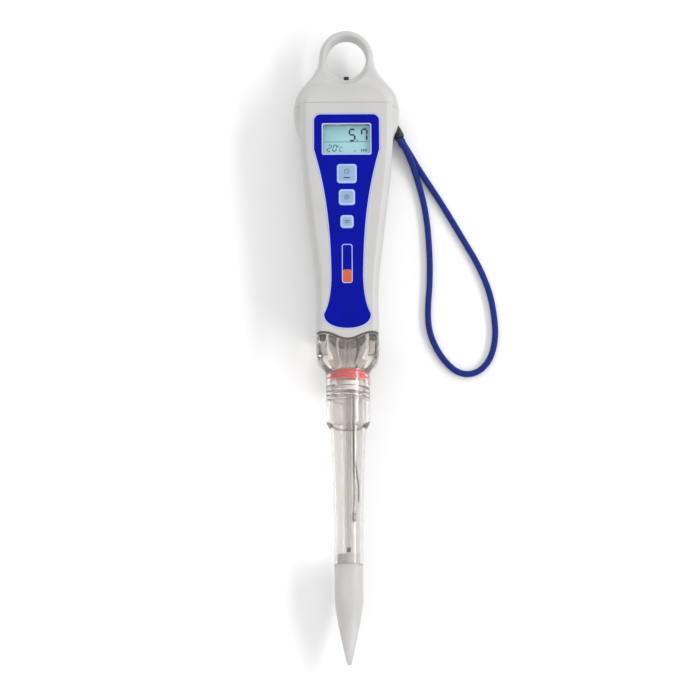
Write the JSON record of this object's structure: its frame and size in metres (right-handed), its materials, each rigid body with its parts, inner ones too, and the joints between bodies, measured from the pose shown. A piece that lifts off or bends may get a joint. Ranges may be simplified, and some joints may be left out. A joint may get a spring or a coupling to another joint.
{
  "type": "soil ph meter pen",
  "caption": "Pen-shaped pH meter lying on its back: display and keys in front, hanging ring with wrist cord, clear probe with a spear tip.",
  "frame": {"origin": "middle of the pen's outline on the surface it lies on, without its cord", "axes": "+Y along the pen towards its hanging ring, +Z out of the front face, +X to the right of the front face"},
  "size_m": [0.0806, 0.2528, 0.0226],
  "materials": {
    "case_plastic": "fine satin, light warm grey",
    "seal_rubber": "matt",
    "blue_film": "printed film, semi-gloss, deep blue with a pale border",
    "clear_window": "clear, flat, polished",
    "lcd_glass": "pale blue-grey display glass",
    "white_plastic": "satin",
    "black_plastic": "satin, near black",
    "black_cord": "thin braided cord",
    "blue_cord": "round braided cord, royal blue",
    "key_rubber": "silicone, light blue",
    "steel": "plated",
    "board_laminate": "green solder mask on glass laminate",
    "cell_can": "wrapped cell",
    "contact_brass": "gold-coloured plate",
    "clear_housing": "clear moulding, faintly warm",
    "clear_tube": "clear tube, polished",
    "frosted_tip": "frosted, translucent",
    "red_rubber": "silicone ring, red",
    "dark_silver": "darkened silver wire"
  },
  "bodies": {
    "case": {"front_shell": "case_plastic", "rear_shell": "case_plastic", "case_seal_left": "seal_rubber", "case_seal_right": "seal_rubber", "label_film": "blue_film", "display_window": "clear_window", "lcd_glass": "lcd_glass", "backlight": "white_plastic", "lcd_bezel": "black_plastic", "lcd_connector": "seal_rubber", "switch_power": "steel", "switch_cal": "steel", "switch_units": "steel", "keypad_mat": "seal_rubber", "main_board": "board_laminate", "board_screw_1": "steel", "board_screw_2": "steel", "microcontroller": "black_plastic", "amplifier_chip": "black_plastic", "lead_connector": "white_plastic", "battery_tube": "black_plastic", "battery_cell": "cell_can", "positive_contact": "contact_brass", "negative_strip": "contact_brass", "probe_housing": "clear_housing", "housing_gasket": "seal_rubber", "probe_body": "clear_tube", "probe_seal_upper": "red_rubber", "probe_seal_lower": "red_rubber", "spear_tip": "frosted_tip", "inner_stem": "clear_tube", "sensing_pellet": "dark_silver", "reference_wire": "dark_silver", "reference_pellet": "dark_silver", "thermal_wire": "dark_silver", "probe_stopper": "white_plastic", "signal_lead": "black_plastic", "reference_lead": "white_plastic", "lanyard_cord": "blue_cord", "lanyard_bead": "black_plastic", "lanyard_string": "black_cord"},
    "battery_cap": {"battery_cap": "case_plastic", "cap_plug": "black_plastic", "cap_seal": "seal_rubber", "battery_spring": "steel"},
    "cap_latch": {"cap_latch": "black_plastic"},
    "key_power": {"key_power": "key_rubber"},
    "key_cal": {"key_cal": "key_rubber"},
    "key_units": {"key_units": "key_rubber"}
  },
  "joints": [
    {"name": "key_power_press", "type": "slide", "parent": "case", "child": "key_power", "axis": [0, 0, -1], "range_m": [0, 0.0005], "stiffness_N_per_m": 150},
    {"name": "key_cal_press", "type": "slide", "parent": "case", "child": "key_cal", "axis": [0, 0, -1], "range_m": [0, 0.0005], "stiffness_N_per_m": 150},
    {"name": "key_units_press", "type": "slide", "parent": "case", "child": "key_units", "axis": [0, 0, -1], "range_m": [0, 0.0005], "stiffness_N_per_m": 150},
    {"name": "battery_cap_pull", "type": "slide", "parent": "case", "child": "battery_cap", "axis": [0, 1, 0], "range_m": [0, 0.03]},
    {"name": "cap_latch_slide", "type": "slide", "parent": "battery_cap", "child": "cap_latch", "axis": [0, 1, 0], "range_m": [0, 0.002]}
  ]
}
